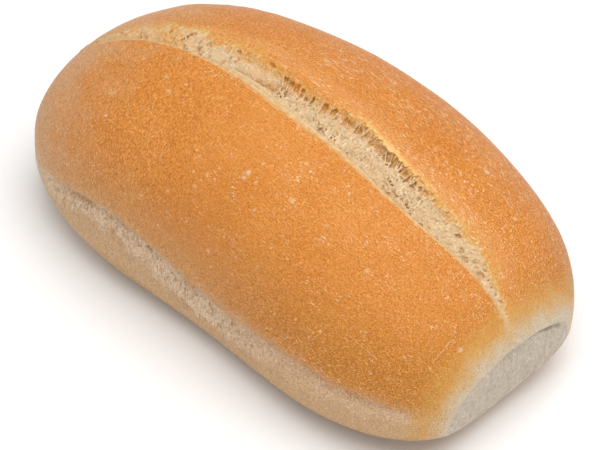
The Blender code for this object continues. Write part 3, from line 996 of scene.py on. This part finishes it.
def skin_colour(n):
    """Crumb cream through yellow to orange crust, and its pale end and seam."""
    parts = n.tree.nodes.new("ShaderNodeSeparateXYZ")
    n.put(parts.inputs[0], n.place)
    height = n.math("MULTIPLY", parts.outputs[2], 1000.0)
    length = n.math("MULTIPLY", parts.outputs[0], 1000.0)
    side = n.math("MULTIPLY", parts.outputs[1], 1000.0)
    brown = n.number("brown")
    fine = n.grain(0.24, 1.0, 0.5)
    streak = n.mix(n.ramp(length, -12.0, 18.0), n.grain(0.24, 1.0, 0.5, (1, 2.6, 2.6)),
                   n.grain(0.24, 1.0, 0.5, (2.6, 1, 1)))
    speck = n.math("ADD", n.math("MULTIPLY", fine, 0.5), n.math("MULTIPLY", streak, 0.5))
    patches = n.ramp(n.grain(14.0, 3.0, 0.5), 0.3, 0.7)

    orange = n.mix(n.math("MULTIPLY", patches, 0.25), ORANGE, LIGHT_ORANGE)
    # painted shade: deeper golden orange lower down, more so towards the flat end
    golden = n.math("MULTIPLY", n.ramp(length, -15.0, 35.0), n.ramp(height, 38.0, 22.0))
    orange = n.mix(n.math("MULTIPLY", golden, 0.9), orange, GOLDEN_SHADE)
    orange = n.mix(n.math("MULTIPLY", n.number("glow"), 0.45), orange, GLOW)
    orange = n.mix(n.ramp(speck, 0.52, 0.34, 0.0, 0.8), orange, DARK_ORANGE)
    orange = n.mix(n.ramp(speck, 0.52, 0.68, 0.0, 1.0), orange, LIGHT_ORANGE)
    fibre = n.math("SUBTRACT", n.grain(0.45, 2.0, 0.6, (1.0, 2.4, 1.0)), 0.5)
    brown = n.math("ADD", brown, n.math("MULTIPLY", fibre, n.ramp(brown, 0.0, 0.3, 0.0, 1.5)))
    colour = n.mix(n.ramp(brown, 0.10, 0.55), CREAM, YELLOW)
    colour = n.mix(n.ramp(brown, 0.45, 1.0), colour, orange)

    # painted shade: the browned crust on the far flank is deepened in tone to offset the pale grazing reflection
    # there
    far = n.math("MULTIPLY", n.ramp(side, 2.0, 12.0, 0.0, 0.8), n.ramp(brown, 0.4, 0.9))
    colour = n.mix(far, colour, n.mix(1.0, colour, (1.0, 0.92, 0.68), "MULTIPLY"))

    # clusters of tiny pale flecks, partly real pale spots and partly painted glints off the crust's fine ridges
    cluster = n.ramp(n.grain(3.0, 2.0, 0.6, (1.6, 1, 1)), 0.52, 0.68)
    fleck = n.ramp(n.grain(0.36, 1.0, 0.5, (1.7, 1, 1)), 0.58, 0.72)
    fleck = n.math("MULTIPLY", fleck, n.math("ADD", n.math("MULTIPLY", cluster, 0.75), 0.1))
    colour = n.mix(fleck, colour, FLECK_AND_GLINT)
    # short pale dashes along the roll, also partly painted glints
    dash = n.ramp(n.grain(0.33, 1.0, 0.5, (6.0, 1, 1)), 0.59, 0.70)
    where = n.math("MULTIPLY", n.ramp(n.grain(5.0, 2.0, 0.6, (1.6, 1, 1)), 0.34, 0.55), n.ramp(length, -28.0, 4.0))
    where = n.math("MULTIPLY", where, n.ramp(side, -17.0, -6.0, 0.12, 0.75))
    colour = n.mix(n.math("MULTIPLY", dash, where), colour, FLECK_AND_GLINT)

    # paler towards the flat end, the seam and the round end
    wander = n.ramp(n.grain(5.0, 4.0), 0.25, 0.75, -2.0, 2.0)
    across_fold = n.math("SUBTRACT", n.grain(0.6, 2.0, 0.6, (3.0, 1, 1)), 0.5)
    seam = n.math("ADD", n.number("off_seam"), n.math("MULTIPLY", wander, 0.35))
    seam = n.math("ADD", seam, n.math("MULTIPLY", n.math("SUBTRACT", n.grain(0.7, 2.0, 0.6, (1, 1, 3)), 0.5), 2.0))
    toward_left = n.ramp(length, 24.0, -8.0)
    plain = colour
    colour = n.mix(n.math("MULTIPLY", n.ramp(seam, -11.0, -2.0, 0.0, 0.35), toward_left), colour, TAN)
    colour = n.mix(n.ramp(seam, -3.5, -0.2, 0.0, 0.6), colour, STRIP)
    colour = n.mix(n.math("MULTIPLY", n.ramp(seam, -0.6, 0.3), n.ramp(length, 26.0, 4.0, 0.6, 0.95)), colour, BELT)
    chips = n.grain(0.55, 2.0, 0.6, (1.0, 1.0, 2.2))
    on_belt = n.math("MULTIPLY", n.ramp(seam, -1.2, -0.2), n.ramp(seam, 3.2, 1.4))
    on_belt = n.math("MULTIPLY", on_belt, n.ramp(length, 30.0, 8.0, 0.3, 1.0))
    colour = n.mix(n.ramp(seam, 1.0, 2.3), colour, STRIP)
    colour = n.mix(n.math("MULTIPLY", n.ramp(chips, 0.54, 0.66, 0.0, 0.75), on_belt), colour, CHIP)
    colour = n.mix(n.math("MULTIPLY", n.ramp(chips, 0.46, 0.34, 0.0, 0.6), on_belt), colour, FLAKE)
    colour = n.mix(n.ramp(seam, 6.5, 9.5), colour, TAN)
    near = n.ramp(side, -6.5, -16.0)
    colour = n.mix(near, plain, colour)
    # paler towards the round end: partly less baked crust, partly painted sheen of the light from the left
    blotchy = n.math("ADD", length, n.math("MULTIPLY", wander, 3.5))
    colour = n.mix(n.ramp(blotchy, -22.0, -58.0, 0.0, 0.6), colour, STRIP)
    off_fold = n.math("ADD", n.number("off_fold"), n.math("MULTIPLY", wander, 0.55))
    off_fold = n.math("ADD", off_fold, n.math("MULTIPLY", across_fold, 5.0))
    colour = n.mix(n.ramp(off_fold, 11.0, 4.5, 0.0, 0.9), colour, YELLOW)
    colour = n.mix(n.ramp(off_fold, 6.6, 1.8), colour, PALE)
    colour = n.mix(n.ramp(off_fold, 3.2, 0.5), colour, WHITISH)
    patch = n.mix(n.ramp(n.grain(0.9, 3.0, 0.7, (1, 1, 1.3)), 0.25, 0.75), DARK_PATCH, LIGHT_PATCH)
    colour = n.mix(n.ramp(n.math("ADD", n.number("off_fold"), n.math("MULTIPLY", across_fold, 1.2)), 0.2, -0.4), colour, patch)
    faint = n.math("MAXIMUM", n.math("MULTIPLY", n.ramp(seam, -6.0, 0.0), near), n.ramp(off_fold, 7.0, 2.0, 0.0, 0.7))
    faint = n.math("MAXIMUM", faint, n.ramp(height, 34.0, 18.0, 0.0, 0.65))
    faint = n.math("MAXIMUM", faint, n.ramp(length, 5.0, -25.0, 0.0, 0.55))
    faint = n.math("MAXIMUM", faint, n.math("MULTIPLY", n.ramp(side, -3.0, 8.0, 0.0, 0.6), n.ramp(brown, 0.3, 0.8)))
    darker = n.mix(1.0, colour, (0.74, 0.66, 0.56), "MULTIPLY")
    lighter = n.mix(1.0, colour, (1.22, 1.26, 1.34), "MULTIPLY")
    colour = n.mix(n.math("MULTIPLY", n.ramp(speck, 0.51, 0.36), faint), colour, darker)
    colour = n.mix(n.math("MULTIPLY", n.ramp(speck, 0.51, 0.68), faint), colour, lighter)
    bottom = n.mix(n.grain(4.0, 4.0), SOLE, TAN)
    colour = n.mix(n.ramp(height, 5.0, 1.0), colour, bottom)
    return colour, speck


def near_line(n, start, end, width):
    """One along the line between two places in millimetres, and nothing away from it."""
    start, end = Vector(start) * MM, Vector(end) * MM
    away = n.vector("SUBTRACT", n.place, tuple(start))
    ahead = (end - start).normalized()
    part = n.vector("DOT_PRODUCT", away, tuple(ahead))
    part = n.math("MINIMUM", n.math("MAXIMUM", part, 0.0), (end - start).length)
    foot = n.tree.nodes.new("ShaderNodeVectorMath")
    foot.operation = "SCALE"
    foot.inputs[0].default_value = ahead
    n.put(foot.inputs["Scale"], part)
    gap = n.vector("DISTANCE", away, foot.outputs[0])
    return n.ramp(gap, width * MM, 0.4 * width * MM)


def add_relief(n, grain, waves, before=None):
    relief = n.bump(n.grain(0.4, 3.0, 0.65, (1.5, 1, 1)), grain, 1.0, before)
    relief = n.bump(n.grain(2.6, 3.0, 0.5, (1.5, 1, 1)), waves, 1.0, relief)
    n.put(n.shader.inputs["Normal"], relief)


def crust_material():
    n = Nodes("crust")
    colour, speck = skin_colour(n)
    for start, end in SCRATCHES:
        # pale scratches in the fleck colour, partly painted glints
        colour = n.mix(n.math("MULTIPLY", near_line(n, start, end, 0.16), 0.35), colour, FLECK_AND_GLINT)
    colour = n.mix(n.math("MULTIPLY", n.number("blister"), 0.85), colour, BLISTER)

    # the pale rim of the near lip and the cut face below it
    rim = n.number("rim")
    ragged = n.math("SUBTRACT", n.grain(0.5, 2.0, 0.6, (2.6, 1, 1)), 0.5)
    rim = n.math("ADD", rim, n.math("MULTIPLY", ragged, n.ramp(rim, 0.0, 0.2, 0.0, 0.9)))
    colour = n.mix(n.ramp(rim, 0.1, 0.9, 0.0, 0.92), colour, n.mix(n.ramp(ragged, -0.12, 0.12), DARK_RIM, RIM))
    colour = n.mix(n.ramp(rim, 0.85, 1.0, 0.0, 0.4), colour, CREAM)
    colour = n.mix(n.number("cut"), colour, CREAM)
    n.put(n.shader.inputs["Base Color"], colour)

    n.put(n.shader.inputs["Roughness"], n.ramp(speck, 0.35, 0.65, 0.52, 0.38))
    n.shader.inputs["Specular IOR Level"].default_value = 0.2
    n.shader.inputs["Subsurface Weight"].default_value = 0.06
    n.shader.inputs["Subsurface Radius"].default_value = (1.0, 0.45, 0.2)
    n.shader.inputs["Subsurface Scale"].default_value = 1.0 * MM
    add_relief(n, 0.22, 0.26)
    return n.material


def crumb_material():
    n = Nodes("crumb")
    colour, speck = skin_colour(n)
    web = n.math("MAXIMUM", n.web(1.0, (1, 2.2, 2.2)), n.web(0.7))
    bare = n.mix(n.grain(0.5, 3.0, 0.6), CREAM, n.mix(0.5, CREAM, DEEP_CREAM))
    # painted shade: the bare crumb turns darker cream, then ochre, the deeper it lies in a pit or hollow
    bare = n.mix(n.ramp(n.number("hollow"), 0.08, 0.55, 0.0, 0.65), bare, DEEP_CREAM)
    bare = n.mix(n.ramp(n.number("hollow"), 0.35, 1.2, 0.0, 0.85), bare, PIT_SHADE_OCHRE)
    bare = n.mix(n.math("MULTIPLY", web, 0.7), bare, THREAD)
    colour = n.mix(n.ramp(n.number("brown"), 0.10, 0.50), bare, colour)
    colour = n.mix(n.math("MULTIPLY", n.number("raised"), 0.5), colour, THREAD)
    colour = n.mix(n.math("MULTIPLY", n.number("fringe"), 0.7), colour, FRINGE)
    colour = n.mix(n.math("MULTIPLY", n.number("rim"), 0.75), colour, n.mix(0.35, RIM, CREAM))
    n.put(n.shader.inputs["Base Color"], colour)
    n.put(n.shader.inputs["Roughness"], n.ramp(n.number("brown"), 0.4, 1.0, 0.8, 0.5))
    n.shader.inputs["Specular IOR Level"].default_value = 0.3
    n.shader.inputs["Subsurface Weight"].default_value = 0.25
    n.shader.inputs["Subsurface Radius"].default_value = (1.0, 0.6, 0.35)
    n.shader.inputs["Subsurface Scale"].default_value = 0.5 * MM
    threads = n.bump(n.math("MULTIPLY", web, n.ramp(n.number("brown"), 0.6, 0.1)), 0.09)
    add_relief(n, 0.18, 0.22, threads)
    return n.material


# ---- the set ----

def plain_material(name, colour, roughness):
    n = Nodes(name)
    n.put(n.shader.inputs["Base Color"], colour)
    n.shader.inputs["Roughness"].default_value = roughness
    return n.material


def make_floor():
    mesh = bpy.data.meshes.new("floor")
    side = 3.0
    mesh.from_pydata([(-side, -side, 0), (side, -side, 0), (side, side, 0), (-side, side, 0)], [], [(0, 1, 2, 3)])
    floor = bpy.data.objects.new("floor", mesh)
    bpy.context.scene.collection.objects.link(floor)
    floor.data.materials.append(plain_material("floor", (0.9, 0.9, 0.9), 0.9))


def add_light(name, place, aim, size, power_w):
    data = bpy.data.lights.new(name, "AREA")
    data.shape = "DISK"
    data.size = size
    data.energy = power_w
    lamp = bpy.data.objects.new(name, data)
    bpy.context.scene.collection.objects.link(lamp)
    lamp.location = place
    lamp.rotation_mode = "QUATERNION"
    lamp.rotation_quaternion = (Vector(aim) - Vector(place)).to_track_quat("-Z", "Y")


def make_lights():
    world = bpy.data.worlds.new("studio")
    bpy.context.scene.world = world
    world.use_nodes = True
    background = world.node_tree.nodes["Background"]
    background.inputs[0].default_value = (1.0, 1.0, 1.0, 1.0)
    background.inputs[1].default_value = 0.42
    add_light("overhead", (0.15, 0.05, 0.8), (0, 0, 0.02), 0.9, 6.4)
    add_light("left", (-0.8, -0.4, 0.28), (0, 0, 0.02), 0.6, 0.45)
    add_light("front", (0.5, -0.6, 0.5), (0, 0, 0.02), 0.6, 0.95)
    add_light("high", (0.11, -0.40, 0.70), (0, 0, 0.02), 0.22, 0.4)


CAMERA_AZIMUTH = 43.453
CAMERA_HEIGHT_ANGLE = 43.509
CAMERA_ROLL = 1.727
CAMERA_DISTANCE = 450.0
CAMERA_LENS = 133.2
AIM = (0.0, 0.0, 16.0)
AIM_RIGHT = 2.77
AIM_UP = -1.814


def make_camera():
    a, e, r = (math.radians(k) for k in (CAMERA_AZIMUTH, CAMERA_HEIGHT_ANGLE, CAMERA_ROLL))
    back = Vector((math.sin(a) * math.cos(e), -math.cos(a) * math.cos(e), math.sin(e)))
    right = Vector((math.cos(a), math.sin(a), 0.0))
    up = back.cross(right)
    right, up = right * math.cos(r) + up * math.sin(r), up * math.cos(r) - right * math.sin(r)
    target = Vector(AIM) - Vector(shape_middle)
    place = target + back * CAMERA_DISTANCE
    aim = target + right * AIM_RIGHT + up * AIM_UP
    z = (place - aim).normalized()
    x = up.cross(z).normalized()
    y = z.cross(x)
    data = bpy.data.cameras.new("camera")
    data.lens = CAMERA_LENS
    data.sensor_width = 36.0
    data.clip_start = 0.01
    camera = bpy.data.objects.new("camera", data)
    camera.matrix_world = Matrix.Translation(place * MM) @ Matrix((x, y, z)).transposed().to_4x4()
    bpy.context.scene.collection.objects.link(camera)
    bpy.context.scene.camera = camera


def find_middle():
    """Lines the formulas up with the solid's box."""
    u = np.linspace(0.0, math.pi, 900)[:, None]
    v = np.linspace(0.0, 2.0 * math.pi, 900)[None, :]
    points = skin(u, v).reshape(-1, 3)
    low, high = points.min(axis=0), points.max(axis=0)
    box_low, box_high = (np.array(corner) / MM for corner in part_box("bread_roll"))
    middle = 0.5 * (low + high) - 0.5 * (box_low + box_high)
    return np.array([middle[0], middle[1], 0.0])


shape_middle = find_middle()
make_camera()
make_floor()
make_lights()
bpy.context.scene.view_settings.view_transform = "Standard"

split = Split()
crust = make_crust()
crumb = make_crumb(split)
for pieces, material in ((crust, crust_material()), (crumb, crumb_material())):
    for piece in pieces:
        piece.data.materials.append(material)
        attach(piece, "root")
for piece in crust:
    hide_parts("bread_roll")
